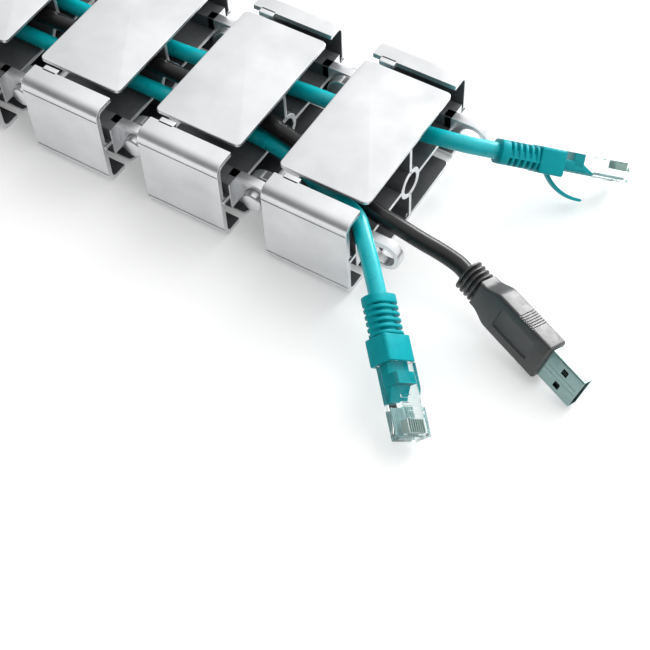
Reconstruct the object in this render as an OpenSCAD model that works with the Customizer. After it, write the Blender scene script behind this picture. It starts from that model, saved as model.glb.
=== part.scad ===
// Cable spine: a chain of moulded vertebrae that carries leads in four channels.
// X runs along the chain, Z is up, and the chain stands on z = 0 under its middle vertebra.

/* [Chain] */
// Distance between two hinge axes, which is the pitch of the chain
pitch = 50; // [46:1:60]
// Overall height of a vertebra
spine_h = 36; // [34:1:44]
// Overall width across both side shells
spine_w = 81; // [79:1:95]

/* [Plates] */
// Length of the top and bottom plates along the chain
plate_l = 34.4; // [28:0.2:34.6]
// Width of the top and bottom plates
plate_w = 56.4; // [54:0.2:60]
// Wall of the top and bottom plates
plate_t = 1.4; // [1:0.1:2]
// Corner radius of the plates, seen from above
plate_r = 2; // [1:0.5:5]
// Length of the middle shelf along the chain
shelf_l = 34; // [26:0.5:34.4]
// Wall of the middle shelf
shelf_t = 1.4; // [1:0.1:2]

/* [Side shells] */
// Length of a side shell along the chain
shell_l = 33; // [26:0.5:34]
// Wall of a side shell
shell_t = 2; // [1.4:0.1:2.4]
// Outer radius where a shell turns into its lips
shell_r = 3.9; // [3:0.1:6]
// Slot between a plate and a lip, which a lead is pushed through
slot_w = 3.5; // [3:0.1:4]
// Depth of the step line under the rounding
step_d = 0.3; // [0.2:0.1:0.6]
// Width of the step line
step_w = 0.7; // [0.4:0.1:1.2]
// How far a retaining tooth reaches into the slot
tooth_reach = 2; // [1:0.1:2.4]
// Length of a retaining tooth along the chain
tooth_l = 6; // [3:0.5:10]
// Middle of a tooth, measured from the middle of the vertebra
tooth_x = -10; // [-11:0.5:11]

/* [Centre tube] */
// Outer diameter of the tube in the middle
tube_od = 12; // [10.5:0.5:14]
// Bore of the tube in the middle
tube_id = 8.2; // [6:0.1:8.6]
// Wall of the webs that carry the plates
web_t = 1.4; // [1:0.1:2]
// Leg of the fillets in the moulded corners
fillet = 1.2; // [0.8:0.1:1.8]

/* [Hinge] */
// Radius of the hinge eyes and of the arms round the axis
eye_r = 6; // [5.4:0.1:6.4]
// Radius of a hinge pin
pin_r = 3.9; // [3:0.1:4.2]
// Radial clearance of a pin in its eye
pin_gap = 0.08; // [0.04:0.01:0.1]
// Thickness of an eye lug across the chain
lug_t = 3.8; // [3:0.1:4.2]
// Thickness of a pin arm across the chain
arm_t = 4; // [3:0.1:4.6]
// Gap between an arm and the lug beside it
side_gap = 0.5; // [0.3:0.05:0.8]
// How far a pin stands out past its lug
pin_proud = 3; // [1.5:0.1:3.4]
// Chamfer on the end of a pin
pin_chamfer = 0.5; // [0.3:0.1:0.9]
// Extra width of the block behind a lug
block_extra = 3.8; // [2:0.1:4]
// Where the block behind a lug starts, measured from the middle
block_x = -10; // [-12:0.5:-4]
// Wall between an arm and the block beside it
bridge_t = 2; // [1.4:0.1:3]

/* [Leads] */
// Diameter of a lead
lead_d = 6; // [5.4:0.1:6.2]

/* [Network plugs] */
// Length of the ribbed sleeve of a boot
sleeve_l = 14; // [12:0.5:16]
// Length of the collar at the rear of the sleeve
collar_l = 3.2; // [2:0.1:4]
// Number of ribs on a sleeve
rib_count = 5; // [3:1:6]
// Length of the block of a boot
boot_l = 9; // [8:0.5:12]
// Width of the block of a boot
boot_w = 12.4; // [12:0.1:13.6]
// Height of the block of a boot
boot_h = 9.2; // [8.6:0.1:10.6]
// Length of the clear body
clear_l = 24.5; // [22:0.5:25]
// Width of the clear body
clear_w = 11.7; // [11.2:0.1:11.9]
// Height of the clear body
clear_h = 7; // [6.6:0.1:7.6]
// Number of contacts
contact_count = 8; // [4:1:8]
// Distance between two contacts
contact_pitch = 1.02; // [0.96:0.01:1.1]
// Thickness of a contact blade
contact_t = 0.4; // [0.3:0.05:0.5]

/* [Data plugs] */
// Length of the ribbed relief
relief_l = 7.5; // [6:0.5:11]
// Number of ribs on the relief
relief_ribs = 4; // [2:1:4]
// Length of the grip
grip_l = 32.5; // [30:0.5:36]
// Width of the grip at its front
grip_w = 14.6; // [13.6:0.1:16]
// Width of the grip at its rear
grip_rear_w = 10; // [9:0.1:12]
// Height of the grip
grip_h = 8.2; // [7.4:0.1:9]
// Length of the metal shell that shows
shell_out = 14.4; // [12:0.2:15]
// Width of the metal shell
metal_w = 12; // [11.6:0.1:12.2]
// Height of the metal shell
metal_h = 4.5; // [4.3:0.1:4.7]
// Wall of the metal shell
metal_t = 0.4; // [0.3:0.05:0.5]

/* [Hidden] */
$fn = 48;
count = 5;
axis_z = spine_h / 2;
hinge_x = pitch / 2;
eps = 0.01;
lug_in = plate_w / 2;
lug_out = lug_in + lug_t;
arm_out = lug_in - side_gap;
arm_in = arm_out - arm_t;
block_out = lug_out + block_extra;
bore_r = pin_r + pin_gap;
pin_end = lug_out + pin_proud;
lip_in = plate_w / 2 + slot_w;
lead_r = lead_d / 2;
lead_sides = 10;
straight_end = 4;
cut = 1;
rib_pitch = (sleeve_l - collar_l) / rib_count;
rib_t = rib_pitch * 0.5;
rib_over = 0.3;
sleeve_r = lead_r + 0.5;
boot_r = 1.2;
spine_low = -1.4;
spine_high = 1.4;
pad_start = 3.4;
pad_end = 7.4;
pad_w = 8.4;
pad_sunk = 0.2;
tongue_l = 12;
tongue_w = 8.4;
tongue_h = 3.6;
tongue_tip_w = 5;
tongue_tip_h = 0.5;
tongue_gap = 0.1;
clear_z = (boot_h - clear_h) / 2;
latch_w = 3.4;
latch_t = 0.9;
latch_l = 18;
latch_back = 3;
latch_tilt = 7;
guard_w = 3.4;
guard_t = 1.1;
guard_r = 16.4;
guard_ahead = 9.5;
guard_up = 0.6;
guard_from = -145;
guard_turn = 59;
contact_l = 4.4;
contact_h = 3;
contact_back = 1.2;
contact_gap = 0.08;
contact_recess = 0.3;
relief_pitch = relief_l / relief_ribs;
relief_t = relief_pitch * 0.45;
relief_over = 0.8;
relief_wall = 0.5;
relief_r = 3.4;
neck_start = 1.8;
neck_l = 9;
panel_d = 0.5;
panel_l = 16;
panel_w = 7.8;
panel_front = 5.4;
groove_count = 7;
groove_d = 0.4;
groove_w = 0.45;
groove_pitch = 0.95;
groove_x = grip_l - 15.1;
tongue_inset = 0.9;
tab_t = 1.9;
tab_gap = 0.05;
window_s = 2.3;
window_x = 6.2;
strip_count = 4;
strip_pitch = 2.5;
strip_w = 1;
strip_l = 8;
strip_t = 0.2;
strip_inset = 1;

// Each plug: where its lead ends, its heading, how far it slopes down and its roll
near_plug = [[133.3, -49.2, 21.7], -47.3, 18.3, -43];
far_plug = [[137, 24.5, 21.9], 32.3, 18.5, -45];
data_plug = [[151, -22, 14.9], -20, 8.4, 68];
near_tail = [[-254, -31, 4.8], 180, 0, 180];
far_tail = [[-260, 22, 4.8], 180, 0, 180];
data_tail = [[-233, -13, 4.6], 180, 0, 0];

// The routes run from the tail plug through the chain to the plug at the front
near_route = [
    [-245, -31, 3.8], [-232, -31, 3.2], [-216, -29.6, 3.1], [-200, -27, 3.1], [-184, -23.6, 3.1],
    [-170, -21, 4], [-158, -18.4, 7.4], [-146, -15.4, 13], [-134, -12.4, 18.2], [-122, -10.8, 21.4],
    [-108, -10.5, 22], [-75, -10.5, 22], [-42, -10.5, 22], [-9, -10.5, 22], [24, -10.5, 22],
    [54, -10.6, 22], [72, -11.8, 22], [83, -15, 22], [92, -19, 22.2], [100, -22.8, 24.4],
    [107, -25.6, 26.8], [113.5, -28.9, 27.7], [119.4, -34.6, 26.9], [125.1, -40.4, 25.2]];
far_route = [
    [-250, 22, 3.8], [-234, 22, 3.2], [-216, 21, 3.1], [-200, 19, 3.1], [-184, 16.6, 3.1],
    [-170, 14.4, 4], [-158, 12.6, 7.4], [-146, 11, 13], [-134, 10.2, 18.2], [-122, 9.9, 21.4],
    [-108, 9.8, 22], [-75, 9.8, 22], [-42, 9.8, 22], [-9, 9.8, 22], [15, 10.2, 22],
    [38, 12.4, 22], [62, 15.2, 22], [82, 16.2, 22], [100, 17.2, 22.2], [112, 17.8, 23.4],
    [120, 18.2, 24.6], [127.6, 19.5, 24.7]];
data_route = [
    [-224, -13, 3.8], [-212, -13, 3.2], [-200, -13, 3.1], [-190, -12.8, 3.1], [-180, -12.2, 3.3],
    [-170, -10.6, 5], [-158, -8.8, 10], [-146, -8, 17], [-134, -5.6, 23.6], [-122, -4.3, 27.4],
    [-108, -4.2, 28], [-75, -4.2, 28], [-42, -4.2, 28], [-9, -4.2, 28], [20, -4.4, 28],
    [44, -5.8, 28], [64, -8, 28], [80, -11.2, 28], [94, -14.8, 27.6], [105, -18.2, 25.8],
    [115, -20.8, 23.7], [124.5, -21.4, 22.3], [133, -21.1, 19.8], [140.6, -20.3, 17.2]];

// Points and directions
function dir(p) = [cos(p[1]) * cos(p[2]), sin(p[1]) * cos(p[2]), -sin(p[2])];
function unit(v) = v / norm(v);
function last(list) = list[len(list) - 1];
function full(tail, route, plug) =
    concat([tail[0], tail[0] - straight_end * dir(tail)], route,
           [plug[0] - straight_end * dir(plug), plug[0]]);
function along(path, i) =
    i == 0 ? unit(path[1] - path[0]) :
    i == len(path) - 1 ? unit(path[i] - path[i - 1]) :
    unit(unit(path[i] - path[i - 1]) + unit(path[i + 1] - path[i]));
function ring(at, d, r, n) =
    let (side = unit(cross([0, 0, 1], d)), up = cross(d, side))
    [for (k = [0:n - 1]) at + r * (cos(360 * k / n) * side + sin(360 * k / n) * up)];

// A round bar swept along a path, with one ring of points at each of its points
module tube(path, r, n) {
    rings = len(path);
    points = [for (i = [0:rings - 1]) each ring(path[i], along(path, i), r, n)];
    wall = [for (i = [0:rings - 2], k = [0:n - 1])
        each let (a = i * n + k, b = i * n + (k + 1) % n) [[a, a + n, b], [b, a + n, b + n]]];
    first_cap = [for (k = [0:n - 1]) k];
    last_cap = [for (k = [n - 1:-1:0]) (rings - 1) * n + k];
    polyhedron(points, concat(wall, [first_cap, last_cap]));
}

// Children are built along +X from the end of the lead and put in their place
module placed(plug) {
    translate(plug[0]) rotate([0, 0, plug[1]]) rotate([0, plug[2], 0]) rotate([plug[3], 0, 0]) children();
}

// A rectangle with round corners
module rounded(w, h, r) {
    square([w - 2 * r, h], center = true);
    square([w, h - 2 * r], center = true);
    for (x = [-1, 1], y = [-1, 1])
        translate([x * (w / 2 - r), y * (h / 2 - r)]) circle(r);
}

// A section drawn with Y across and Z up, drawn out along X about the middle
module section(l) {
    rotate([90, 0, 90]) translate([0, 0, -l / 2]) linear_extrude(l) children();
}

// A fillet in a corner at a point, with its legs along the given signs, let into the flat wall
module corner(at, sy, sz) {
    translate(at) polygon([[0, -sz * eps], [sy * fillet, -sz * eps], [sy * fillet, 0], [0, sz * fillet]]);
}

module plates() {
    for (s = [-1, 1])
        translate([0, 0, s * (axis_z - plate_t / 2)])
            linear_extrude(plate_t, center = true) rounded(plate_l, plate_w, plate_r);
}

module centre_tube() {
    section(plate_l) {
        difference() {
            union() {
                circle(tube_od / 2);
                square([web_t, spine_h - plate_t], center = true);
            }
            circle(tube_id / 2);
        }
        for (sy = [-1, 1], sz = [-1, 1])
            corner([sy * web_t / 2, sz * (axis_z - plate_t)], sy, -sz);
    }
}

module shelf() {
    section(shelf_l) {
        difference() {
            square([spine_w - shell_t, shelf_t], center = true);
            circle(tube_id / 2);
        }
        for (sy = [-1, 1], sz = [-1, 1])
            corner([sy * (spine_w / 2 - shell_t), sz * shelf_t / 2], -sy, sz);
    }
}

module side_shells() {
    section(shell_l) difference() {
        rounded(spine_w, spine_h, shell_r);
        rounded(spine_w - 2 * shell_t, spine_h - 2 * shell_t, shell_r - shell_t);
        square([2 * lip_in, spine_h + cut], center = true);
        for (sy = [-1, 1], sz = [-1, 1])
            translate([sy * spine_w / 2, sz * (axis_z - shell_r - step_w)])
                square([2 * step_d, step_w], center = true);
    }
    for (sy = [-1, 1], sz = [-1, 1])
        translate([tooth_x, sy * (lip_in - tooth_reach / 2 + eps), sz * (axis_z - shell_t / 2)])
            cube([tooth_l, tooth_reach + 2 * eps, shell_t], center = true);
}

// The eye lugs at the front and the blocks that carry them
module lugs() {
    block_l = plate_l / 2 - block_x;
    for (s = [-1, 1]) {
        translate([block_x + block_l / 2, s * (lug_in + block_out) / 2, 0])
            cube([block_l, block_out - lug_in, 2 * eye_r], center = true);
        translate([0, s * (lug_in + lug_t / 2), 0]) rotate([90, 0, 0])
            linear_extrude(lug_t, center = true) {
                translate([hinge_x, 0]) circle(eye_r);
                translate([0, -eye_r]) square([hinge_x, 2 * eye_r]);
            }
    }
}

// The arms at the rear, with a pin on the outside of each
module arms() {
    for (s = [-1, 1]) {
        translate([0, s * (arm_in + arm_t / 2), 0]) rotate([90, 0, 0])
            linear_extrude(arm_t, center = true) {
                translate([-hinge_x, 0]) circle(eye_r);
                translate([-hinge_x, -eye_r]) square([hinge_x + block_x + bridge_t, 2 * eye_r]);
            }
        translate([block_x + bridge_t / 2, s * (arm_in + lug_in + eps) / 2, 0])
            cube([bridge_t, lug_in + eps - arm_in, 2 * eye_r], center = true);
        translate([-hinge_x, s * arm_in, 0]) rotate([-s * 90, 0, 0]) {
            cylinder(h = pin_end - arm_in - pin_chamfer, r = pin_r);
            translate([0, 0, pin_end - arm_in - pin_chamfer])
                cylinder(h = pin_chamfer, r1 = pin_r, r2 = pin_r - pin_chamfer);
        }
    }
}

module vertebra(i) {
    color("silver") translate([(i - (count + 1) / 2) * pitch, 0, axis_z]) difference() {
        union() {
            plates();
            centre_tube();
            shelf();
            side_shells();
            lugs();
            arms();
        }
        translate([hinge_x, 0, 0]) rotate([90, 0, 0])
            cylinder(h = 2 * (block_out + cut), r = bore_r, center = true);
    }
}

module lead(tail, route, plug, paint) {
    color(paint) tube(full(tail, route, plug), lead_r, lead_sides);
}

// The curved guard over the latch, an arc in the plane of the plug's length and height
module guard() {
    translate([sleeve_l + boot_l + guard_ahead, guard_w / 2, boot_h / 2 + guard_up])
        rotate([90, 0, 0]) rotate([0, 0, guard_from]) rotate_extrude(angle = guard_turn)
            translate([guard_r - guard_t / 2, 0]) square([guard_t, guard_w]);
}

// The ribbed sleeve, the block, and the tongue in the clear body with its pad in the contact side
module network_boot(plug, guarded) {
    color("darkcyan") placed(plug) {
        rotate([0, 90, 0]) cylinder(h = sleeve_l + eps, r = sleeve_r);
        oblong(0, collar_l);
        for (k = [1:rib_count])
            oblong(collar_l + k * rib_pitch - rib_t - rib_over, rib_t);
        intersection() {
            oblong(collar_l - eps, sleeve_l - collar_l + 2 * eps);
            translate([0, -boot_w / 2, spine_low]) cube([sleeve_l + eps, boot_w, spine_high - spine_low]);
        }
        translate([sleeve_l, 0, 0]) rotate([90, 0, 90])
            linear_extrude(boot_l) rounded(boot_w, boot_h, boot_r);
        translate([sleeve_l + boot_l - eps, 0, 0]) {
            intersection() {
                linear_extrude(tongue_h, center = true) polygon([
                    [0, -tongue_w / 2], [tongue_l / 2, -tongue_w / 2], [tongue_l, -tongue_tip_w / 2],
                    [tongue_l, tongue_tip_w / 2], [tongue_l / 2, tongue_w / 2], [0, tongue_w / 2]]);
                rotate([90, 0, 0]) linear_extrude(tongue_w, center = true) polygon([
                    [0, -tongue_h / 2], [tongue_l, -tongue_h / 2], [tongue_l, tongue_tip_h - tongue_h / 2],
                    [pad_end, tongue_h / 2 - tongue_tip_h], [pad_start, tongue_h / 2], [0, tongue_h / 2]]);
            }
            translate([pad_start, -pad_w / 2, 0])
                cube([pad_end - pad_start, pad_w, boot_h / 2 - pad_sunk]);
        }
        if (guarded) guard();
    }
}

// A collar or a rib of the sleeve
module oblong(x, l) {
    translate([x, 0, 0]) rotate([90, 0, 90]) linear_extrude(l) intersection() {
        circle(boot_w / 2 - rib_over);
        square([boot_w, boot_h - 2 * rib_over], center = true);
    }
}

// The clear body with its latch, the pocket for the tongue, a window for the pad and a slot for each contact
module network_body(plug) {
    color("lightcyan") placed(plug) translate([sleeve_l + boot_l, 0, 0]) {
        difference() {
            translate([0, -clear_w / 2, clear_z - clear_h / 2]) cube([clear_l, clear_w, clear_h]);
            translate([-cut, -tongue_w / 2 - tongue_gap, -tongue_h / 2 - tongue_gap])
                cube([tongue_l + cut + tongue_gap, tongue_w + 2 * tongue_gap, tongue_h + 2 * tongue_gap]);
            translate([pad_start - tongue_gap, -pad_w / 2 - tongue_gap, 0])
                cube([pad_end - pad_start + 2 * tongue_gap, pad_w + 2 * tongue_gap, boot_h]);
            for (k = [0:contact_count - 1])
                translate([clear_l - contact_back - contact_l - contact_gap,
                           (k - (contact_count - 1) / 2) * contact_pitch - contact_t / 2 - contact_gap,
                           clear_z + clear_h / 2 - contact_h - contact_gap])
                    cube([contact_l + 2 * contact_gap, contact_t + 2 * contact_gap,
                          contact_h + cut + contact_gap]);
        }
        translate([clear_l - latch_back, 0, clear_z - clear_h / 2 + latch_t]) rotate([0, -latch_tilt, 0])
            translate([-latch_l, -latch_w / 2, -latch_t]) cube([latch_l, latch_w, latch_t]);
    }
}

module network_contacts(plug) {
    color("goldenrod") placed(plug)
        for (k = [0:contact_count - 1])
            translate([sleeve_l + boot_l + clear_l - contact_back - contact_l,
                       (k - (contact_count - 1) / 2) * contact_pitch - contact_t / 2,
                       clear_z + clear_h / 2 - contact_h])
                cube([contact_l, contact_t, contact_h - contact_recess]);
}

// The ribbed relief and the grip, with a panel on its faces and grooves in its sides
module data_grip(plug) {
    color("#404040") placed(plug) {
        rotate([0, 90, 0]) cylinder(h = relief_l + eps, r = lead_r + relief_wall);
        for (k = [0:relief_ribs - 1])
            translate([k * relief_pitch + relief_t / 2, 0, 0]) rotate([90, 0, 90])
                linear_extrude(relief_t) rounded(grip_rear_w + relief_over, grip_h + relief_over, relief_r);
        translate([relief_l, 0, 0]) difference() {
            linear_extrude(grip_h, center = true) polygon([
                [0, -grip_rear_w / 2], [neck_start, -grip_rear_w / 2], [neck_l, -grip_w / 2],
                [grip_l, -grip_w / 2], [grip_l, grip_w / 2], [neck_l, grip_w / 2],
                [neck_start, grip_rear_w / 2], [0, grip_rear_w / 2]]);
            for (s = [-1, 1]) {
                translate([grip_l - panel_front - panel_l, -panel_w / 2, s * grip_h / 2 - panel_d])
                    cube([panel_l, panel_w, 2 * panel_d]);
                for (k = [0:groove_count - 1])
                    translate([groove_x + k * groove_pitch, s * grip_w / 2 - groove_d, -grip_h / 2 - cut])
                        cube([groove_w, 2 * groove_d, grip_h + 2 * cut]);
            }
        }
    }
}

module data_shell(plug) {
    color("lightslategray") placed(plug) translate([relief_l + grip_l, 0, 0]) difference() {
        translate([0, -metal_w / 2, -metal_h / 2]) cube([shell_out, metal_w, metal_h]);
        translate([-cut, -metal_w / 2 + metal_t, -metal_h / 2 + metal_t])
            cube([shell_out + 2 * cut, metal_w - 2 * metal_t, metal_h - 2 * metal_t]);
        for (s = [-1, 1])
            translate([window_x, s * metal_w / 4 - window_s / 2, -metal_h / 2 - cut])
                cube([window_s, window_s, metal_h + 2 * cut]);
    }
}

// The insulator lies along the lower wall inside the shell
module data_tab(plug) {
    color("dimgray") placed(plug)
        translate([relief_l + grip_l, -metal_w / 2 + metal_t + tab_gap, -metal_h / 2 + metal_t + tab_gap])
            cube([shell_out - tongue_inset, metal_w - 2 * (metal_t + tab_gap), tab_t]);
}

module data_contacts(plug) {
    color("goldenrod") placed(plug)
        for (k = [0:strip_count - 1])
            translate([relief_l + grip_l + shell_out - tongue_inset - strip_inset - strip_l,
                       (k - (strip_count - 1) / 2) * strip_pitch - strip_w / 2,
                       -metal_h / 2 + metal_t + tab_gap + tab_t])
                cube([strip_l, strip_w, strip_t]);
}

NETWORK = [["near", near_plug, false], ["far", far_plug, true],
           ["near_tail", near_tail, false], ["far_tail", far_tail, true]];
DATA = [["front", data_plug], ["tail", data_tail]];

for (i = [1:count])
    vertebra(i);
lead(near_tail, near_route, near_plug, "darkcyan");  // near_lead
lead(far_tail, far_route, far_plug, "darkcyan");  // far_lead
lead(data_tail, data_route, data_plug, "#303030");  // data_lead
for (p = NETWORK) {
    network_boot(p[1], p[2]);
    network_body(p[1]);
    network_contacts(p[1]);
}
for (p = DATA) {
    data_grip(p[1]);
    data_shell(p[1]);
    data_tab(p[1]);
    data_contacts(p[1]);
}
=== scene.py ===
import math

import bmesh
import bpy
from mathutils import Matrix, Vector


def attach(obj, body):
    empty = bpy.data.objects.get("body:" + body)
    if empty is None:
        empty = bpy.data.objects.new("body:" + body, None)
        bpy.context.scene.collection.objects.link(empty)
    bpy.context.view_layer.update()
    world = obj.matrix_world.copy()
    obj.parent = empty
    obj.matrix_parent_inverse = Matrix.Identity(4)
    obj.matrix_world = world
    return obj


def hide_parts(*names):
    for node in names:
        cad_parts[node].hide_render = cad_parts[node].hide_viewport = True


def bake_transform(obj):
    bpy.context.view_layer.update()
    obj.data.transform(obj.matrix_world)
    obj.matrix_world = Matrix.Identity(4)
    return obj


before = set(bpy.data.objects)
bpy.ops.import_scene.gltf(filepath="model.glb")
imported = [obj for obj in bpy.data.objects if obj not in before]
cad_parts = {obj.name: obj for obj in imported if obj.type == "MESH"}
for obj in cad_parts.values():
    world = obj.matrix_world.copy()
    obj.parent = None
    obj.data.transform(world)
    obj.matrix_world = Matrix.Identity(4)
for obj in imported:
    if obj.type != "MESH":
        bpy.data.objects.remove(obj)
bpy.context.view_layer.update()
print("frame loaded:", len(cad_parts), "nodes")

mm = 0.001  # part sizes below are in millimetres, as on a drawing


# small helpers


def linear(code):  # an sRGB hex colour as linear RGBA
    parts = [int(code[i:i + 2], 16) / 255 for i in (1, 3, 5)]
    return (*[c / 12.92 if c <= 0.04045 else ((c + 0.055) / 1.055) ** 2.4 for c in parts], 1.0)


def addNode(tree, kind, inputs=None, **settings):
    node = tree.nodes.new(kind)
    for key, value in settings.items():
        setattr(node, key, value)
    for socket, value in (inputs or {}).items():
        if isinstance(value, bpy.types.NodeSocket):
            tree.links.new(value, node.inputs[socket])
        else:
            node.inputs[socket].default_value = value
    return node


def newMaterial(name):
    material = bpy.data.materials.new(name)
    material.use_nodes = True
    material.node_tree.nodes.clear()
    return material, material.node_tree


def arc(centre, radius, start, end, steps=8):
    angles = [math.radians(start + (end - start) * i / steps) for i in range(steps + 1)]
    return [(centre[0] + radius * math.cos(a), centre[1] + radius * math.sin(a)) for a in angles]


def roundRect(width, height, radius, steps=6):
    w, h = width / 2 - radius, height / 2 - radius
    return (arc((w, h), radius, 0, 90, steps) + arc((-w, h), radius, 90, 180, steps)
            + arc((-w, -h), radius, 180, 270, steps) + arc((w, -h), radius, 270, 360, steps))


def inset(outline, distance):  # moves an anticlockwise outline inwards, with mitred corners
    moved = []
    for i, point in enumerate(outline):
        before, after = Vector(outline[i - 1]), Vector(outline[(i + 1) % len(outline)])
        point = Vector(point)
        one, two = (point - before).normalized(), (after - point).normalized()
        one, two = Vector((-one.y, one.x)), Vector((-two.y, two.x))
        moved.append(tuple(point + (one + two) * distance / (1 + one.dot(two))))
    return moved


def loft(loops, closed=False):  # skins loops of equal length, with caps at the ends if it is open
    count = len(loops[0])
    verts = [tuple(p) for loop in loops for p in loop]
    faces = []
    for i in range(len(loops) if closed else len(loops) - 1):
        a, b = i * count, (i + 1) % len(loops) * count
        faces += [(a + k, a + (k + 1) % count, b + (k + 1) % count, b + k) for k in range(count)]
    if not closed:
        faces += [tuple(range(count))[::-1], tuple((len(loops) - 1) * count + k for k in range(count))]
    return verts, faces


def edgeLoops(outline, low, high, edge, steps=3):  # outlines with their levels, rounded at both ends
    loops = []
    for end, sign in ((low, 1), (high, -1)):
        ring = []
        for k in range(steps + 1):
            turn = math.pi / 2 * k / steps
            flat = inset(outline, edge * (1 - math.sin(turn)))
            ring.append((flat, end + sign * edge * (1 - math.cos(turn))))
        loops += ring if sign == 1 else ring[::-1]
    return loops


def prism(outline, low, high, edge=0.25, steps=3, axis="x"):  # an extrusion with rounded end edges
    order = {"x": lambda u, v, w: (w, u, v), "y": lambda u, v, w: (u, w, v),
             "z": lambda u, v, w: (u, v, w)}[axis]
    return loft([[order(u, v, level) for u, v in flat]
                 for flat, level in edgeLoops(outline, low, high, edge, steps)])


def lathe(profile, sides=40, closed=False):  # turns (x, radius) points about the X axis
    loops = [[(x, r * math.cos(2 * math.pi * k / sides), r * math.sin(2 * math.pi * k / sides))
              for k in range(sides)] for x, r in profile]
    return loft(loops, closed)


def shifted(part, x=0, y=0, z=0):
    return [(a + x, b + y, c + z) for a, b, c in part[0]], part[1]


def meshOf(name, parts, material, smooth=35):
    mesh = bpy.data.meshes.new(name)
    verts, faces = [], []
    for partVerts, partFaces in parts:
        faces += [tuple(i + len(verts) for i in face) for face in partFaces]
        verts += [Vector(v) * mm for v in partVerts]
    mesh.from_pydata(verts, [], faces)
    build = bmesh.new()
    build.from_mesh(mesh)
    bmesh.ops.recalc_face_normals(build, faces=build.faces)
    build.to_mesh(mesh)
    build.free()
    mesh.materials.append(material)
    mesh.polygons.foreach_set("use_smooth", [True] * len(mesh.polygons))
    mesh.set_sharp_from_angle(angle=math.radians(smooth))
    return mesh


def place(name, mesh, where=None):
    if where is not None:
        mesh.transform(where)
    piece = bpy.data.objects.new(name, mesh)
    bpy.context.scene.collection.objects.link(piece)
    return piece


def repeatTree():  # a row of copies of the host's mesh
    tree = bpy.data.node_groups.new("rowOfPieces", "GeometryNodeTree")
    face = tree.interface
    for name, kind in (("Piece", "Geometry"), ("Count", "Int"), ("Step", "Vector"), ("Start", "Vector"),
                       ("Material", "Material")):
        face.new_socket(name, in_out="INPUT", socket_type="NodeSocket" + kind)
    face.new_socket("Row", in_out="OUTPUT", socket_type="NodeSocketGeometry")
    given = addNode(tree, "NodeGroupInput").outputs
    line = addNode(tree, "GeometryNodeMeshLine",
                   {"Count": given["Count"], "Offset": given["Step"], "Start Location": given["Start"]},
                   mode="OFFSET")
    copies = addNode(tree, "GeometryNodeInstanceOnPoints",
                     {"Points": line.outputs[0], "Instance": given["Piece"]})
    real = addNode(tree, "GeometryNodeRealizeInstances", {"Geometry": copies.outputs[0]})
    paint = addNode(tree, "GeometryNodeSetMaterial",
                    {"Geometry": real.outputs[0], "Material": given["Material"]})
    addNode(tree, "NodeGroupOutput", {"Row": paint.outputs[0]})
    return tree


rowOfPieces = repeatTree()


def rowMesh(name, mesh, count, step, start=(0, 0, 0)):
    host = bpy.data.objects.new(name, mesh)
    bpy.context.scene.collection.objects.link(host)
    rows = host.modifiers.new("row", "NODES")
    rows.node_group = rowOfPieces
    values = {"Count": count, "Step": [s * mm for s in step], "Start": [s * mm for s in start],
              "Material": mesh.materials[0]}
    for item in rowOfPieces.interface.items_tree:
        if item.in_out == "INPUT" and item.name in values:
            rows[item.identifier] = values[item.name]
    bpy.context.view_layer.update()
    ready = host.evaluated_get(bpy.context.evaluated_depsgraph_get())
    made = bpy.data.meshes.new_from_object(ready)
    bpy.data.objects.remove(host)
    return made


def joined(name, meshes, where=None):  # several meshes as one piece, with their materials kept
    build = bmesh.new()
    materials = []
    for mesh in meshes:
        first = len(build.faces)
        build.from_mesh(mesh)
        build.faces.ensure_lookup_table()
        for face in build.faces[first:]:
            material = mesh.materials[face.material_index]
            if material not in materials:
                materials.append(material)
            face.material_index = materials.index(material)
    mesh = bpy.data.meshes.new(name)
    build.to_mesh(mesh)
    build.free()
    for material in materials:
        mesh.materials.append(material)
    return place(name, mesh, where)


def carved(mesh, cutter):  # the mesh without the cutter's solids
    host, knife = place("host", mesh), place("knife", cutter)
    cut = host.modifiers.new("cut", "BOOLEAN")
    cut.operation, cut.solver, cut.object = "DIFFERENCE", "EXACT", knife
    bpy.context.view_layer.update()
    made = bpy.data.meshes.new_from_object(host.evaluated_get(bpy.context.evaluated_depsgraph_get()))
    made.set_sharp_from_angle(angle=math.radians(35))
    for piece in (host, knife):
        bpy.data.objects.remove(piece)
    return made


def dress(piece, body, node):  # the piece rides on a body and replaces a node
    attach(piece, body)
    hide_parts(node)


# camera, at the photograph's viewing angle

camera = {
    "place": (0.272659, -0.281524, 0.389482),
    "forward": (-0.328649, 0.475654, -0.815931),
    "up": (-0.412087, 0.705128, 0.577042),
    "lens": 79.406,
}

forward, up = Vector(camera["forward"]).normalized(), Vector(camera["up"]).normalized()
right = forward.cross(up).normalized()
up = right.cross(forward)
view = bpy.data.cameras.new("view")
view.lens = camera["lens"]
view.sensor_width = 36
view.clip_start, view.clip_end = 0.01, 10
viewer = bpy.data.objects.new("view", view)
bpy.context.scene.collection.objects.link(viewer)
turn = Matrix((right, up, -forward)).transposed().to_4x4()
viewer.matrix_world = Matrix.Translation(camera["place"]) @ turn
bpy.context.scene.camera = viewer
print("camera placed")


# materials


def softNoise(tree, size, detail=2.0, roughness=0.5):  # object-space noise with features of a size in mm
    where = addNode(tree, "ShaderNodeTexCoord")
    return addNode(tree, "ShaderNodeTexNoise",
                   {"Vector": where.outputs["Object"], "Scale": 1 / (size * mm), "Detail": detail,
                    "Roughness": roughness})


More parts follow.
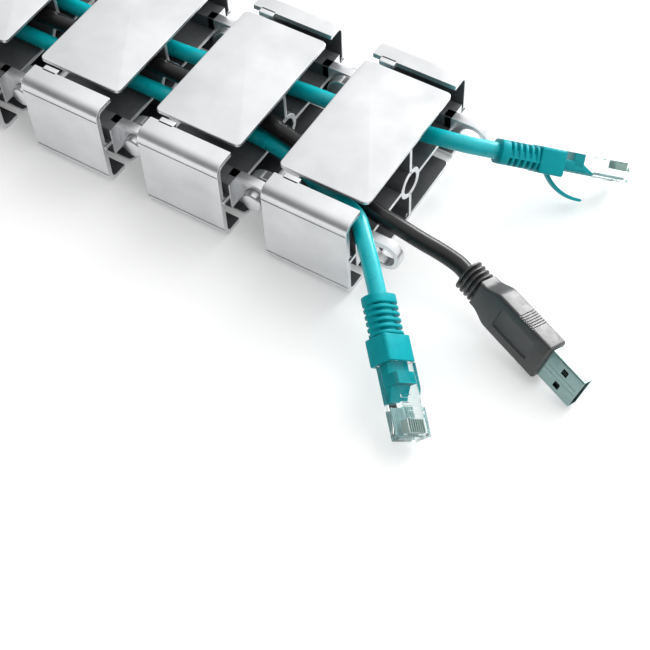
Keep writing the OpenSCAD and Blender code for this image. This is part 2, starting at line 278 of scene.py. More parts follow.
def makeSilver():
    # Silver-lacquered ABS: a thin metallic coat that mirrors the room softly, with faint clouds where
    # the moulding flows, and a fine grain of flakes.
    material, tree = newMaterial("silverLacqueredAbs")
    flow = softNoise(tree, 14.3, 3.0)      # clouds in the coat
    clouds = addNode(tree, "ShaderNodeMapRange", {"Value": flow.outputs[0], "From Min": 0.2, "From Max": 0.8})
    tone = addNode(tree, "ShaderNodeMixRGB",
                   {"Fac": clouds.outputs[0], "Color1": linear("#D0D2D4"), "Color2": linear("#E6E7E8")})
    rough = addNode(tree, "ShaderNodeMapRange", {"Value": clouds.outputs[0], "To Min": 0.26, "To Max": 0.38})
    flakes = softNoise(tree, 0.385, 1.0)   # flakes, coarser than real ones so that they show
    swell = softNoise(tree, 22.2, 1.0)     # the panel's own slow waviness
    grain = addNode(tree, "ShaderNodeBump",
                    {"Height": flakes.outputs[0], "Strength": 0.05, "Distance": 0.03 * mm})
    wave = addNode(tree, "ShaderNodeBump",
                   {"Height": swell.outputs[0], "Strength": 0.25, "Distance": 0.5 * mm,
                    "Normal": grain.outputs[0]})
    shader = addNode(tree, "ShaderNodeBsdfPrincipled",
                     {"Base Color": tone.outputs[0], "Metallic": 0.88, "Roughness": rough.outputs[0],
                      "Normal": wave.outputs[0]})
    addNode(tree, "ShaderNodeOutputMaterial", {"Surface": shader.outputs[0]})
    return material


def makePlastic(name, dark, light, roughness, grit, depth, gloss=0.5):
    # Coloured plastic: an even tone with the faintest clouds, under a skin whose grit, of a size and
    # depth in mm, spreads the highlight.
    material, tree = newMaterial(name)
    tint = softNoise(tree, 2.5, 3.0)
    tone = addNode(tree, "ShaderNodeMixRGB",
                   {"Fac": tint.outputs[0], "Color1": linear(dark), "Color2": linear(light)})
    texture = softNoise(tree, grit, 2.0)
    bump = addNode(tree, "ShaderNodeBump",
                   {"Height": texture.outputs[0], "Strength": 0.3, "Distance": depth * mm})
    rough = addNode(tree, "ShaderNodeMapRange",
                    {"Value": tint.outputs[0], "From Min": 0.3, "From Max": 0.7,
                     "To Min": roughness - 0.04, "To Max": roughness + 0.05})
    shader = addNode(tree, "ShaderNodeBsdfPrincipled",
                     {"Base Color": tone.outputs[0], "Roughness": rough.outputs[0], "Normal": bump.outputs[0],
                      "IOR": 1.5, "Specular IOR Level": gloss})
    addNode(tree, "ShaderNodeOutputMaterial", {"Surface": shader.outputs[0]})
    return material


def makeClear():
    # Clear polycarbonate: polished by its mould, with the faintest flow lines.
    material, tree = newMaterial("clearPolycarbonate")
    flow = softNoise(tree, 3.85, 1.0)
    bump = addNode(tree, "ShaderNodeBump",
                   {"Height": flow.outputs[0], "Strength": 0.12, "Distance": 0.2 * mm})
    shader = addNode(tree, "ShaderNodeBsdfPrincipled",
                     {"Base Color": linear("#F6FDFC"), "Roughness": 0.04, "IOR": 1.22,
                      "Transmission Weight": 1.0, "Normal": bump.outputs[0]})
    addNode(tree, "ShaderNodeOutputMaterial", {"Surface": shader.outputs[0]})
    return material


def makeMetal(name, dark, light, roughness, stroke, metallic=1.0):
    # Plated sheet or strip: it mirrors softly, with faint rolling marks of a stroke in mm.
    material, tree = newMaterial(name)
    marks = softNoise(tree, stroke, 4.0)
    tone = addNode(tree, "ShaderNodeMixRGB",
                   {"Fac": marks.outputs[0], "Color1": linear(dark), "Color2": linear(light)})
    bump = addNode(tree, "ShaderNodeBump",
                   {"Height": marks.outputs[0], "Strength": 0.1, "Distance": 0.04 * mm})
    shader = addNode(tree, "ShaderNodeBsdfPrincipled",
                     {"Base Color": tone.outputs[0], "Metallic": metallic, "Roughness": roughness,
                      "Normal": bump.outputs[0]})
    addNode(tree, "ShaderNodeOutputMaterial", {"Surface": shader.outputs[0]})
    return material


silver = makeSilver()
# Painted shade: the inner walls get a dull dark grey that stands in for the shade inside the hollow vertebra.
paintedShadeWall = makePlastic("paintedShadeGreyAbs", "#4A4B4D", "#5C5D5F", 0.4, 0.83, 0.04)
# The extruded jackets shine evenly along their length, and the soft boots have a satin skin.
tealJacket = makePlastic("tealPvcJacket", "#00A8B2", "#00BEC6", 0.3, 1.11, 0.03)
tealBoot = makePlastic("tealSoftPvc", "#008E98", "#00A6AE", 0.38, 0.71, 0.05, gloss=0.15)
# The black jacket is rubbery with a thin highlight, and the grip's sparked grain lightens its edges.
blackJacket = makePlastic("blackTpeJacket", "#101011", "#1A1A1B", 0.3, 1.11, 0.06, gloss=0.4)
blackGrip = makePlastic("blackSparkedAbs", "#1E1E1F", "#2A2A2B", 0.4, 0.45, 0.06, gloss=0.9)
# The insulator and the wires' sleeves are matt, seen only through openings and the clear bodies.
darkTab = makePlastic("darkNylon", "#17191A", "#222425", 0.45, 0.67, 0.04)
wireSleeve = makePlastic("greyTealWireSleeve", "#8FB3B5", "#A9C6C7", 0.5, 0.67, 0.02)
clearBody = makeClear()
# The blades are a dull grey-green under their thin plating, and the shell is a cool grey.
bladePlating = makeMetal("flashPlatedBronze", "#8AA39E", "#A9BDB6", 0.35, 0.67, 0.5)
platedSheet = makeMetal("nickelPlatedSteel", "#7C9694", "#93ACA9", 0.3, 1.11)
print("materials made")


# leads, on the routes of the solid leads

lead = {
    "radius": 3.0,
    "sides": 20,
    "samples": 4,     # between two points of the route
    "straight": 4.0,  # the moulded-in end at each plug
    "blend": 13.0,    # half of the stretch about a hinge
}
stations = [("rear", -100.0), ("link_2", -50.0), ("link_3", 0.0), ("link_4", 50.0), ("front", 100.0)]

# where each plug starts, its heading, how far it slopes down, and its roll
plugs = {
    "near": ((133.3, -49.2, 21.7), -47.3, 18.3, -43),
    "far": ((137, 24.5, 21.9), 32.3, 18.5, -45),
    "data": ((151, -22, 14.9), -20, 8.4, 68),
    "near_tail": ((-254, -31, 4.8), 180, 0, 180),
    "far_tail": ((-260, 22, 4.8), 180, 0, 180),
    "data_tail": ((-233, -13, 4.6), 180, 0, 0),
}
routes = {
    "near": [
        (-245, -31, 3.8), (-232, -31, 3.2), (-216, -29.6, 3.1), (-200, -27, 3.1), (-184, -23.6, 3.1),
        (-170, -21, 4), (-158, -18.4, 7.4), (-146, -15.4, 13), (-134, -12.4, 18.2), (-122, -10.8, 21.4),
        (-108, -10.5, 22), (-75, -10.5, 22), (-42, -10.5, 22), (-9, -10.5, 22), (24, -10.5, 22),
        (54, -10.6, 22), (72, -11.8, 22), (83, -15, 22), (92, -19, 22.2), (100, -22.8, 24.4),
        (107, -25.6, 26.8), (113.5, -28.9, 27.7), (119.4, -34.6, 26.9), (125.1, -40.4, 25.2)],
    "far": [
        (-250, 22, 3.8), (-234, 22, 3.2), (-216, 21, 3.1), (-200, 19, 3.1), (-184, 16.6, 3.1),
        (-170, 14.4, 4), (-158, 12.6, 7.4), (-146, 11, 13), (-134, 10.2, 18.2), (-122, 9.9, 21.4),
        (-108, 9.8, 22), (-75, 9.8, 22), (-42, 9.8, 22), (-9, 9.8, 22), (15, 10.2, 22),
        (38, 12.4, 22), (62, 15.2, 22), (82, 16.2, 22), (100, 17.2, 22.2), (112, 17.8, 23.4),
        (120, 18.2, 24.6), (127.6, 19.5, 24.7)],
    "data": [
        (-224, -13, 3.8), (-212, -13, 3.2), (-200, -13, 3.1), (-190, -12.8, 3.1), (-180, -12.2, 3.3),
        (-170, -10.6, 5), (-158, -8.8, 10), (-146, -8, 17), (-134, -5.6, 23.6), (-122, -4.3, 27.4),
        (-108, -4.2, 28), (-75, -4.2, 28), (-42, -4.2, 28), (-9, -4.2, 28), (20, -4.4, 28),
        (44, -5.8, 28), (64, -8, 28), (80, -11.2, 28), (94, -14.8, 27.6), (105, -18.2, 25.8),
        (115, -20.8, 23.7), (124.5, -21.4, 22.3), (133, -21.1, 19.8), (140.6, -20.3, 17.2)],
}


def plugMatrix(name):  # a plug is drawn along +X from the end of its lead
    at, heading, slope, roll = plugs[name]
    return (Matrix.Translation(Vector(at) * mm) @ Matrix.Rotation(math.radians(heading), 4, "Z")
            @ Matrix.Rotation(math.radians(slope), 4, "Y") @ Matrix.Rotation(math.radians(roll), 4, "X"))


def smoothRoute(name):
    tail, head = name + "_tail", name
    points = []
    for end in (tail, head):
        matrix = plugMatrix(end)
        start, away = matrix.translation / mm, matrix.to_3x3() @ Vector((1, 0, 0))
        points.append([start, start - away * lead["straight"]])
    path = points[0] + [Vector(p) for p in routes[name]] + points[1][::-1]
    fine = []
    for i in range(len(path) - 1):
        a, b = path[max(i - 1, 0)], path[i]
        c, d = path[i + 1], path[min(i + 2, len(path) - 1)]
        span = (c - b).length
        before = (c - a) / max((c - a).length, 1e-6) * span   # tangents scaled to the span
        after = (d - b) / max((d - b).length, 1e-6) * span
        for k in range(lead["samples"]):
            t = k / lead["samples"]
            fine.append(b * (2 * t ** 3 - 3 * t ** 2 + 1) + before * (t ** 3 - 2 * t ** 2 + t)
                        + c * (3 * t ** 2 - 2 * t ** 3) + after * (t ** 3 - t ** 2))
    return fine + [path[-1]]


def cutAt(path, x):  # adds a point where the path crosses a station, and returns its number
    for i in range(len(path) - 1):
        if path[i].x <= x < path[i + 1].x:
            share = (x - path[i].x) / (path[i + 1].x - path[i].x)
            if share > 1e-6:
                path.insert(i + 1, path[i].lerp(path[i + 1], share))
                return i + 1
            return i
    raise ValueError(f"the path never crosses {x}")


def leadRings(path):
    rings = []
    for i, point in enumerate(path):
        along = (path[min(i + 1, len(path) - 1)] - path[max(i - 1, 0)]).normalized()
        side = Vector((0, 0, 1)).cross(along).normalized()
        top = along.cross(side)
        rings.append([point + lead["radius"] * (math.cos(a) * side + math.sin(a) * top)
                      for a in [2 * math.pi * k / lead["sides"] for k in range(lead["sides"])]])
    return rings


for name, material, node, slot in (("near", tealJacket, "near_lead", "teal_jacket"),
                                   ("far", tealJacket, "far_lead", "teal_jacket"),
                                   ("data", blackJacket, "data_lead", "black_jacket")):
    path = smoothRoute(name)
    for body, x in stations:
        cutAt(path, x)
    cuts = [min(range(len(path)), key=lambda i: abs(path[i].x - x)) for body, x in stations]
    rings = leadRings(path)
    for k in range(len(stations) - 1):
        piece = place(f"{name}_lead_span_{k + 1}",
                      meshOf(f"{name}_lead_span_{k + 1}", [loft(rings[cuts[k]:cuts[k + 1] + 1])], material))
        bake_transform(piece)
        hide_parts(node)
    ends = (("tail", "rear", slice(0, cuts[0] + 1)), ("front", "front", slice(cuts[-1], None)))
    for label, body, part in ends:
        piece = place(f"{name}_lead_{label}", meshOf(f"{name}_lead_{label}", [loft(rings[part])], material))
        dress(piece, body, node)
print("leads made")


# vertebra, drawn about the middle of its own hinge line and repeated along the chain

vertebra = {
    "pitch": 50.0, "height": 36.0, "width": 81.0, "axis": 18.0, "edge": 0.3,
    "plate": (34.4, 56.4, 1.4, 2.0),             # length, width, wall, corner radius
    "shelf": (34.0, 1.4),                        # length, wall
    "shellLong": 33.0, "shellWall": 2.0, "shellRound": 3.9,
    "lipIn": 31.7,                               # from the middle to the edge of a lip
    "stepDeep": 0.3, "stepWide": 0.7,            # the step line under the rounding
    "toothReach": 2.0, "toothRoot": 0.8, "toothLong": 6.0, "toothX": -10.0,
    "tubeOut": 12.0, "tubeIn": 8.2, "tubeEdge": 0.25, "web": 1.4, "fillet": 1.2, "filletRoot": 0.3,
    "eye": 6.0, "pin": 3.9, "pinEnd": 35.0, "bore": 3.98,
    "lug": (28.2, 32.0), "arm": (23.7, 27.7),    # from and to, across the chain
    "block": (-10.0, 17.2, 28.2, 35.8),          # from and to along the chain, then across it
    "lugRoot": 3.0, "bridge": 2.0,
}


def shellOutline():
    v = vertebra
    y, z, r, w = v["width"] / 2, v["height"] / 2, v["shellRound"], v["shellWall"]
    lip, deep = v["lipIn"], v["stepDeep"]
    high = z - r - v["stepWide"] / 2
    low = high - v["stepWide"]
    outer = (arc((y - r, -z + r), r, -90, 0) + [(y, -high), (y - deep, -high), (y - deep, -low), (y, -low),
             (y, low), (y - deep, low), (y - deep, high), (y, high)] + arc((y - r, z - r), r, 0, 90))
    inner = arc((y - r, z - r), r - w, 90, 0) + arc((y - r, -z + r), r - w, 0, -90)
    return [(lip, -z)] + outer + [(lip, z), (lip, z - w)] + inner + [(lip, -z + w)]


def rectangle(across, down):  # anticlockwise, with the ends of its sides in either order
    (left, right), (low, high) = sorted(across), sorted(down)
    return [(left, low), (right, low), (right, high), (left, high)]


def eyeLug(centreX, reach, hole, low, high, edge):  # a lug with a round end and a bore
    eye = vertebra["eye"]
    side = [(centreX + (reach - centreX) * k / 6, eye) for k in range(1, 7)]
    back = [(reach, eye * (1 - k / 4)) for k in range(1, 8)]
    under = [(x, -z) for x, z in side[::-1]]
    outline = arc((centreX, 0), eye, -90, 90, 24) + side + back + under
    angles = [math.atan2(z, x - centreX) for x, z in outline]
    bore = [(centreX + hole * math.cos(a), hole * math.sin(a)) for a in angles]
    chamfer = inset(bore, -edge)
    loops = edgeLoops(outline, low, high, edge)
    loops += [(chamfer, high), (bore, high - edge), (bore, low + edge), (chamfer, low)]
    return loft([[(x, level, z) for x, z in flat] for flat, level in loops], closed=True)


def plates():
    long, wide, thick, corner = vertebra["plate"]
    top = vertebra["height"] / 2
    outline = roundRect(long, wide, corner)
    return [prism(outline, low, low + thick, vertebra["edge"], axis="z") for low in (-top, top - thick)]


def centreTube():
    v = vertebra
    half, outside, inside, e = v["plate"][0] / 2, v["tubeOut"] / 2, v["tubeIn"] / 2, v["tubeEdge"]
    return lathe([(-half, inside + e), (-half + e, inside), (half - e, inside), (half, inside + e),
                  (half, outside - e), (half - e, outside), (-half + e, outside), (-half, outside - e)],
                 48, closed=True)


def web(up):  # from the wall of the tube into a plate
    v = vertebra
    start, end = (v["tubeOut"] + v["tubeIn"]) / 4, v["height"] / 2 - v["plate"][2] / 2
    half = v["plate"][0] / 2
    return prism(rectangle((-v["web"] / 2, v["web"] / 2), (up * start, up * end)), -half, half, 0.2)


def shelf(s):  # from the wall of the tube into a side shell
    v = vertebra
    long, thick = v["shelf"]
    start, end = (v["tubeOut"] + v["tubeIn"]) / 4, v["width"] / 2 - v["shellWall"] / 2
    return prism(rectangle((s * start, s * end), (-thick / 2, thick / 2)), -long / 2, long / 2, 0.2)


def sideShell(s):
    outline = shellOutline()
    if s < 0:
        outline = [(-y, z) for y, z in outline[::-1]]
    half = vertebra["shellLong"] / 2
    return prism(outline, -half, half, vertebra["edge"])


def tooth(s, up):  # stands in the slot, so that a lead stays in its channel
    v = vertebra
    outline = roundRect(v["toothLong"], v["toothReach"] + v["toothRoot"], 0.5, 3)
    low, high = sorted((up * (v["height"] / 2 - v["shellWall"]), up * v["height"] / 2))
    middle = v["lipIn"] - v["toothReach"] / 2 + v["toothRoot"] / 2
    return shifted(prism(outline, low, high, 0.25, axis="z"), v["toothX"], s * middle)


def fillet(y, z, sy, sz):  # in the corner at y and z, with its legs along the given signs
    leg, root = vertebra["fillet"], vertebra["filletRoot"]
    outline = [(y - sy * root, z - sz * root), (y + sy * leg, z - sz * root), (y + sy * leg, z),
               (y, z + sz * leg), (y - sy * root, z + sz * leg)]
    if sy * sz < 0:  # keeps the outline anticlockwise
        outline = outline[::-1]
    half = vertebra["shellLong"] / 2
    return prism(outline, -half, half, 0.15, 1)


def lug(s):  # the eye at the front and the block that carries it
    v = vertebra
    x0, x1, blockIn, blockOut = v["block"]
    low, high = sorted(s * y for y in v["lug"])
    eye = eyeLug(v["pitch"] / 2, x1 - v["lugRoot"], v["bore"], low, high, v["edge"])
    low, high = sorted((s * blockIn, s * blockOut))
    return [eye, prism(rectangle((x0, x1), (-v["eye"], v["eye"])), low, high, v["edge"], axis="y")]


def arm(s):  # the arm at the rear, its bridge to the block, and the pin
    v = vertebra
    eye, hinge, start = v["eye"], -v["pitch"] / 2, v["block"][0]
    armIn, armOut = v["arm"]
    end = start + v["bridge"]
    low, high = sorted((s * armIn, s * armOut))
    outline = arc((hinge, 0), eye, 90, 270, 24) + [(end, -eye), (end, eye)]
    parts = [prism(outline, low, high, v["edge"], axis="y")]
    low, high = sorted((s * (armIn + 0.6), s * (v["lug"][0] + 0.5)))
    parts.append(prism(rectangle((start, end), (-eye, eye)), low, high, 0.2, axis="y"))
    pin, tip = v["pin"], v["pinEnd"]
    stub = lathe([(armIn + 0.4, pin), (tip - 0.5, pin), (tip - 0.15, pin - 0.35), (tip, pin - 0.6)], 40)
    parts.append(([(hinge + a, s * x, b) for x, a, b in stub[0]], stub[1]))
    return parts


def vertebraParts():
    v = vertebra
    underPlate, inShell = v["height"] / 2 - v["plate"][2], v["width"] / 2 - v["shellWall"]
    parts = plates() + [centreTube()]
    for s in (-1, 1):
        parts += [web(s), shelf(s), sideShell(s)]
        for up in (-1, 1):
            parts += [tooth(s, up), fillet(s * v["web"] / 2, up * underPlate, s, -up),
                      fillet(s * inShell, up * v["shelf"][1] / 2, -s, up)]
        parts += lug(s) + arm(s)
    return parts


master = meshOf("vertebra", vertebraParts(), silver)
master.materials.append(paintedShadeWall)
hollow = (vertebra["shellLong"] / 2, vertebra["width"] / 2 - vertebra["shellWall"] + 0.3,
          vertebra["height"] / 2 - vertebra["plate"][2] + 0.1)
# Painted shade: faces inside the hollow, apart from the end faces, take the dark grey in place of the shade
# that falls there.
for face in master.polygons:
    inside = all(abs(c / mm) < limit for c, limit in zip(face.center, hollow))
    if inside and abs(face.normal.x) < 0.5:
        face.material_index = 1
for number, (body, x) in enumerate(stations, 1):
    where = Matrix.Translation(Vector((x, 0, vertebra["axis"])) * mm)
    piece = place(f"vertebra_{number}_skin", master.copy(), where)
    dress(piece, body, f"vertebra_{number}")
print("vertebrae made")


# network plugs

network = {
    "sleeveLong": 14.0, "sleeve": 3.5, "collar": 3.2,
    "ribs": 5, "ribStep": 2.16, "ribThick": 1.08, "ribGap": 0.3,
    "rib": (11.8, 8.6, 3.5),                         # width, height, corner radius
    "spine": (-1.4, 1.4, 2.6, 0.9),                  # from and to in height, depth, slant
    "block": (9.0, 12.4, 9.2, 1.2),                  # length, width, height, corner radius
    "tongue": (12.0, 8.4, 3.6, 5.0, 0.5),            # length, width and height, then those of the tip
    "pad": (3.4, 7.4, 8.4, 4.4),                     # from and to in length, width, height
    "lip": (0.5, 0.25),                              # thickness, height above the pad
    "guard": (16.4, 1.1, 3.4, 9.5, 0.6, -145.0, 59.0),  # radius, thickness, width, ahead, rise, start, turn
    "body": (24.5, 11.7, 7.0),                       # length, width, height
    "steps": (11.6, 14.2, 16.8),                     # where the grooves across the contact side lie
    "step": (1.1, 0.6, 9.4),                         # length, depth, width
    "latch": (18.0, 3.4, 0.9, 7.0, 3.0),             # length, width, thickness, tilt, distance from the end
    "contacts": 8, "contactPitch": 1.02, "recess": 0.3, "contactBack": 1.2,
    "contact": (4.4, 0.4, 2.7),                      # length, thickness, height
    "wire": (9.0, 0.42, 1.6, 1.4),                   # length, radius, distance from the end, height
}


def guardLoops():  # a flat strap along an arc in the plane of the plug's length and height
    radius, thick, wide, ahead, rise, start, sweep = network["guard"]
    centreX = network["sleeveLong"] + network["block"][0] + ahead
    centreZ = network["block"][2] / 2 + rise
    strap = roundRect(thick, wide, 0.35, 3)
    loops = []
    for k in range(25):
        a = math.radians(start + sweep * k / 24)
        end = min(1.0, (24 - k) / 2 + 0.45)      # the free end is rounded off
        loops.append([(centreX + (radius + u * end) * math.cos(a), v * min(1.0, end + 0.3),
                       centreZ + (radius + u * end) * math.sin(a)) for u, v in strap])
    return loops


def blockEnd():  # where the clear body starts
    return network["sleeveLong"] + network["block"][0]


def tongueParts(x0):  # the boot's tongue in the clear body, with its pad and the lip at the pad's end
    n = network
    long, wide, high, tipWide, tipHigh = n["tongue"]
    padStart, padEnd, padWide, padHigh = n["pad"]
    lipThick, lipHigh = n["lip"]
    stops = [(-0.5, 1.0, 1.0), (padStart, 1.0, 1.0), (6.0, 1.0, 0.93), (padEnd, 0.9, 0.86),
             (long, tipWide / wide, tipHigh / high)]
    blade = loft([[(x0 + x, y * w, -high / 2 * (1 - t) + z * t) for y, z in roundRect(wide, high, 0.7, 3)]
                  for x, w, t in stops])
    pad = prism(roundRect(padEnd - padStart, padWide, 0.5, 3), 0, padHigh, 0.3, axis="z")
    lip = prism(roundRect(lipThick, padWide, 0.2, 3), 0, padHigh + lipHigh, 0.12, axis="z")
    return [blade, shifted(pad, x0 + (padStart + padEnd) / 2), shifted(lip, x0 + padEnd - lipThick / 2)]


def bootMeshes(guarded):
    n = network
    start = n["sleeveLong"]
    long, wide, high, corner = n["block"]
    ribWide, ribHigh, ribRound = n["rib"]
    low, top, deep, slant = n["spine"]
    oblong = roundRect(ribWide, ribHigh, ribRound)
    boot = [lathe([(0, n["sleeve"] - 0.5), (0.5, n["sleeve"]), (start + 0.5, n["sleeve"])], 32),
            prism(oblong, 0, n["collar"], 0.45),
            prism(roundRect(wide, high, corner), start, start + long, 0.45, 4)]
    for s in (-1, 1):
        left = s * (ribWide - deep) / 2 - deep / 2
        right = left + deep
        spine = [(left, low), (right, low), (right - (s > 0) * slant, top), (left + (s < 0) * slant, top)]
        boot.append(prism(spine, n["collar"] - 0.5, start + 0.3, 0.2))
    boot += tongueParts(start + long)
    if guarded:
        boot.append(loft(guardLoops()))
    rib = meshOf("rib", [prism(oblong, 0, n["ribThick"], 0.3)], tealBoot)
    ribs = rowMesh("ribs", rib, n["ribs"], (n["ribStep"], 0, 0),
                   start=(n["collar"] + n["ribStep"] - n["ribThick"] - n["ribGap"], 0, 0))
    return [meshOf("boot", boot, tealBoot), ribs]


def clearMeshes():
    n = network
    x0 = blockEnd()
    long, wide, high = n["body"]
    face = n["block"][2] / 2                      # the contact side of the block and of the clear body
    box = shifted(prism(roundRect(wide, high, 0.5, 3), x0 + 0.02, x0 + long, 0.35), z=face - high / 2)
    stepLong, stepDeep, stepWide = n["step"]
    step = prism(roundRect(stepLong, stepWide, 0.25, 3), face - stepDeep, face + 1, 0.1, axis="z")
    notches = [shifted(step, x0 + x) for x in n["steps"]]
    bladeLong, bladeThick, bladeHigh = n["contact"]
    windowLong, windowWide = bladeLong + 0.4, (n["contacts"] - 1) * n["contactPitch"] + bladeThick + 0.5
    window = prism(roundRect(windowLong, windowWide, 0.4, 4), face - 2 * n["recess"], face + 1, 0.1, axis="z")
    notches.append(shifted(window, x0 + long - n["contactBack"] - bladeLong / 2))
    shell = carved(meshOf("clear", [box], clearBody), meshOf("notches", notches, clearBody))
    latchLong, latchWide, latchThick, tilt, back = n["latch"]
    verts, faces = prism(roundRect(latchWide, latchThick, 0.3, 3), -latchLong, 0, 0.25)
    lean = Matrix.Rotation(math.radians(-tilt), 4, "Y")
    at = Vector((x0 + long - back, 0, face - high + latchThick / 2))
    return [shell, meshOf("latch", [([tuple(at + lean @ Vector(p)) for p in verts], faces)], clearBody)]


def contactMeshes():
    n = network
    end, face = blockEnd() + n["body"][0], n["block"][2] / 2
    firstY, step = -(n["contacts"] - 1) / 2 * n["contactPitch"], (0, n["contactPitch"], 0)
    long, thick, high = n["contact"]
    blade = shifted(prism(roundRect(thick, high, 0.12, 2), 0, long, 0.1, 1),
                    end - n["contactBack"] - long, firstY, face - n["recess"] - high / 2)
    wireLong, wireRound, wireBack, wireRise = n["wire"]
    wire = shifted(lathe([(0, wireRound), (wireLong, wireRound)], 10),
                   end - wireLong - wireBack, firstY, face - n["body"][2] + wireRise)
    return [rowMesh("blades", meshOf("blade", [blade], bladePlating), n["contacts"], step),
            rowMesh("wires", meshOf("wire", [wire], wireSleeve), n["contacts"], step)]


def networkPlug(name, body, guarded):
    where = plugMatrix(name)
    dress(joined(f"{name}_boot_skin", bootMeshes(guarded), where), body, f"{name}_boot")
    dress(joined(f"{name}_clear_skin", clearMeshes(), where), body, f"{name}_clear_body")
    dress(joined(f"{name}_contact_blades", contactMeshes(), where), body, f"{name}_contacts")


for name, body, guarded in (("near", "front", False), ("far", "front", True),
                            ("near_tail", "rear", False), ("far_tail", "rear", True)):
    networkPlug(name, body, guarded)
print("network plugs made")


# data plugs

data = {
    "reliefLong": 7.5, "core": 3.5, "ribs": 4, "ribThick": 0.8, "ribStart": 0.5,
    "rib": (11.0, 9.2, 3.6),                     # width, height, corner radius
    "gripLong": 32.5, "rearWide": 10.0, "wide": 14.6, "high": 8.2, "corner": 1.0,
    "neckStart": 1.8, "neck": 9.0,               # the stretch in which the grip widens
    "panel": (16.0, 7.8, 5.4, 0.5),              # length, width, distance from the front, depth
    "grooves": 7, "grooveX": 17.4, "groovePitch": 0.95,
    "groove": (0.45, 0.4),                       # width, depth
    "shell": (14.4, 12.0, 4.5, 0.4),             # length, width, height, wall
    "rimEdge": 0.12,
    "window": (2.3, 7.35),                       # side, place along the shell
    "seam": (0.14, 0.12, 0.9),                   # width, depth, distance from the middle
}


def gripOutline():  # plan of the grip, with an S-curve from the narrow rear to the full width
    d = data
    rear, full = d["rearWide"] / 2, d["wide"] / 2
    x0, x1 = d["neckStart"], d["neck"]
    curve = []
    for k in range(11):
        t = k / 10
        curve.append((x0 + (x1 - x0) * t, rear + (full - rear) * t * t * (3 - 2 * t)))
    corner = (d["gripLong"] - d["corner"], full - d["corner"])
    side = [(0, rear)] + curve + arc(corner, d["corner"], 90, 0, 4)
    return [(x, -y) for x, y in side] + side[::-1]


def gripMeshes():
    d = data
    relief = lathe([(0, d["core"] - 0.4), (0.4, d["core"]), (d["reliefLong"] + 0.4, d["core"])], 32)
    grip = prism(gripOutline(), -d["high"] / 2, d["high"] / 2, 0.9, 5, axis="z")
    panelLong, panelWide, panelFront, panelDeep = d["panel"]
    grooveWide, grooveDeep = d["groove"]
    groove = prism(roundRect(grooveWide, 2 * grooveDeep, 0.12, 2), -d["high"], d["high"], 0.05, 1, axis="z")
    cutters = []
    for s in (-1, 1):
        low, top = sorted((s * (d["high"] / 2 - panelDeep), s * (d["high"] / 2 + 1)))
        panel = prism(roundRect(panelLong, panelWide, 1.1, 5), low, top, 0.2, axis="z")
        cutters.append(shifted(panel, d["reliefLong"] + d["gripLong"] - panelFront - panelLong / 2))
        for k in range(d["grooves"]):
            x = d["reliefLong"] + d["grooveX"] + k * d["groovePitch"] + grooveWide / 2
            cutters.append(shifted(groove, x, s * d["wide"] / 2))
    grip = meshOf("grip", [shifted(grip, d["reliefLong"])], blackGrip)
    grip = carved(grip, meshOf("cutters", cutters, blackGrip))
    ribWide, ribHigh, ribRound = d["rib"]
    rib = meshOf("rib", [prism(roundRect(ribWide, ribHigh, ribRound), 0, d["ribThick"], 0.3)], blackGrip)
    ribs = rowMesh("ribs", rib, d["ribs"], (d["reliefLong"] / d["ribs"], 0, 0), start=(d["ribStart"], 0, 0))
    return [meshOf("relief", [relief], blackGrip), grip, ribs]


def shellMesh():
    d = data
    long, wide, high, wall = d["shell"]
    x0, edge = d["reliefLong"] + d["gripLong"], d["rimEdge"]
    outer = roundRect(wide, high, 0.55, 4)
    inner = inset(outer, wall)
    rims = [(outer, x0), (outer, x0 + long - edge), (inset(outer, edge), x0 + long),
            (inset(inner, -edge), x0 + long), (inner, x0 + long - edge), (inner, x0)]
    shell = loft([[(x, y, z) for y, z in flat] for flat, x in rims], closed=True)
    hole, holeX = d["window"]
    window = prism(roundRect(hole, hole, 0.2, 3), -high, high, 0.05, 1, axis="z")
    seamWide, seamDeep, seamY = d["seam"]
    seam = prism(roundRect(seamWide, 2 * seamDeep, 0.02, 1), x0 - 1, x0 + long - 0.8, 0.02, 1)
    cutters = [shifted(window, x0 + holeX, s * wide / 4) for s in (-1, 1)]
    cutters += [shifted(seam, y=side * seamY, z=s * high / 2) for s in (-1, 1) for side in (-1, 1)]
    return carved(meshOf("shell", [shell], platedSheet), meshOf("cutters", cutters, platedSheet))


def dataPlug(name, prefix, body):
    where = plugMatrix(name)
    dress(joined(f"{prefix}_data_grip_skin", gripMeshes(), where), body, f"{prefix}_data_grip")
    dress(joined(f"{prefix}_data_shell_skin", [shellMesh()], where), body, f"{prefix}_data_shell")


for name, prefix, body in (("data", "front", "front"), ("data_tail", "tail", "rear")):
    dataPlug(name, prefix, body)
for prefix in ("front", "tail"):
    for label, material in (("tab", darkTab), ("contacts", bladePlating)):
        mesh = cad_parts[f"{prefix}_data_{label}"].data
        mesh.materials.clear()
        mesh.materials.append(material)
print("data plugs made")
# floor and light

studio = {
    "floorWide": 6.0, "floorColour": "#F4F4F4", "floorLift": 0.2,
    "bright": (0.3, 0.5, 0.6),             # towards the bright part of the sky
    "dim": -0.2, "full": 0.7, "dimSky": 0.2, "fullSky": 1.2,
    "lampPower": 6.5, "lampWide": 1.2, "lampPlace": (0.35, 0.95, 1.15),
    "rimPower": 10.0, "rimWide": 0.5, "rimPlace": (0.3, 1.0, 0.4),
}

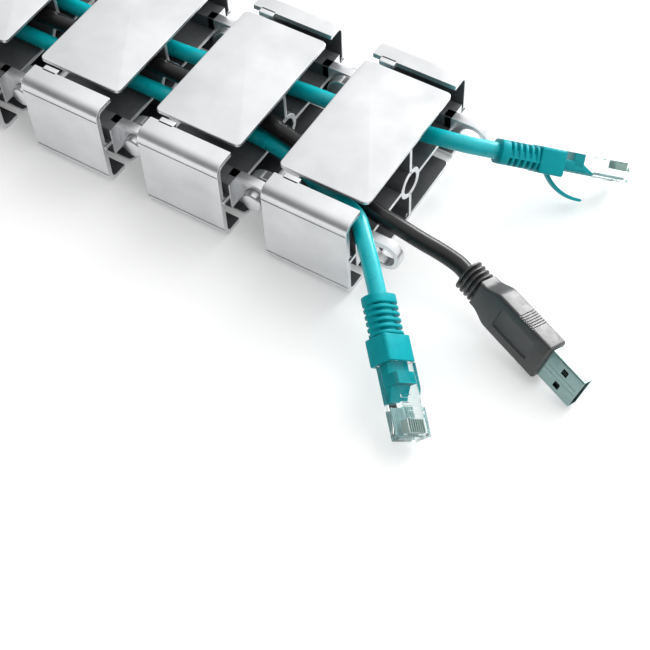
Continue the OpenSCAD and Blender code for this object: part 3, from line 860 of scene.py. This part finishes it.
floorMesh = bpy.data.meshes.new("floor")
w = studio["floorWide"] / 2
floorMesh.from_pydata([(-w, -w, 0), (w, -w, 0), (w, w, 0), (-w, w, 0)], [], [(0, 1, 2, 3)])
floor = place("floor", floorMesh)
paper, tree = newMaterial("whiteSweep")
rays = addNode(tree, "ShaderNodeLightPath")
seen = addNode(tree, "ShaderNodeMath", {0: rays.outputs["Is Camera Ray"], 1: rays.outputs["Is Glossy Ray"]},
               operation="MAXIMUM")
seen = addNode(tree, "ShaderNodeMath", {0: seen.outputs[0], 1: rays.outputs["Is Transmission Ray"]},
               operation="MAXIMUM")
lift = addNode(tree, "ShaderNodeMath", {0: seen.outputs[0], 1: studio["floorLift"]}, operation="MULTIPLY")
matt = addNode(tree, "ShaderNodeBsdfDiffuse", {"Color": linear(studio["floorColour"])})
glow = addNode(tree, "ShaderNodeEmission", {"Color": (1, 1, 1, 1), "Strength": lift.outputs[0]})
both = addNode(tree, "ShaderNodeAddShader", {0: matt.outputs[0], 1: glow.outputs[0]})
addNode(tree, "ShaderNodeOutputMaterial", {"Surface": both.outputs[0]})
floorMesh.materials.append(paper)

world = bpy.data.worlds.new("studio")
bpy.context.scene.world = world
world.use_nodes = True
tree = world.node_tree
tree.nodes.clear()
aim = addNode(tree, "ShaderNodeTexCoord")
lean = addNode(tree, "ShaderNodeVectorMath", {0: aim.outputs["Generated"], 1: studio["bright"]},
               operation="DOT_PRODUCT")
rise = addNode(tree, "ShaderNodeMapRange",
               {"Value": lean.outputs["Value"], "From Min": studio["dim"], "From Max": studio["full"],
                "To Min": studio["dimSky"], "To Max": studio["fullSky"]}, interpolation_type="SMOOTHSTEP")
dome = addNode(tree, "ShaderNodeBackground", {"Color": (1, 1, 1, 1), "Strength": rise.outputs[0]})
plain = addNode(tree, "ShaderNodeBackground", {"Color": (1, 1, 1, 1), "Strength": 1.0})
rays = addNode(tree, "ShaderNodeLightPath")
pick = addNode(tree, "ShaderNodeMixShader",
               {0: rays.outputs["Is Camera Ray"], 1: dome.outputs[0], 2: plain.outputs[0]})
addNode(tree, "ShaderNodeOutputWorld", {"Surface": pick.outputs[0]})

lamp = bpy.data.lights.new("softbox", "AREA")
lamp.energy = studio["lampPower"]
lamp.size = studio["lampWide"]
softbox = bpy.data.objects.new("softbox", lamp)
bpy.context.scene.collection.objects.link(softbox)
softbox.visible_glossy = False  # its edge would show in the plates
softbox.location = studio["lampPlace"]
softbox.rotation_euler = (Vector((0, 0, 0)) - softbox.location).to_track_quat("-Z", "Y").to_euler()

# A strip low behind the chain gives highlights on the faces turned up and back.
rim = bpy.data.lights.new("rimStrip", "AREA")
rim.energy = studio["rimPower"]
rim.size = studio["rimWide"]
strip = bpy.data.objects.new("rimStrip", rim)
bpy.context.scene.collection.objects.link(strip)
strip.location = studio["rimPlace"]
strip.rotation_euler = (Vector((0.1, 0, 0)) - strip.location).to_track_quat("-Z", "Y").to_euler()

scene = bpy.context.scene
scene.view_settings.view_transform = "Standard"
print("studio made")
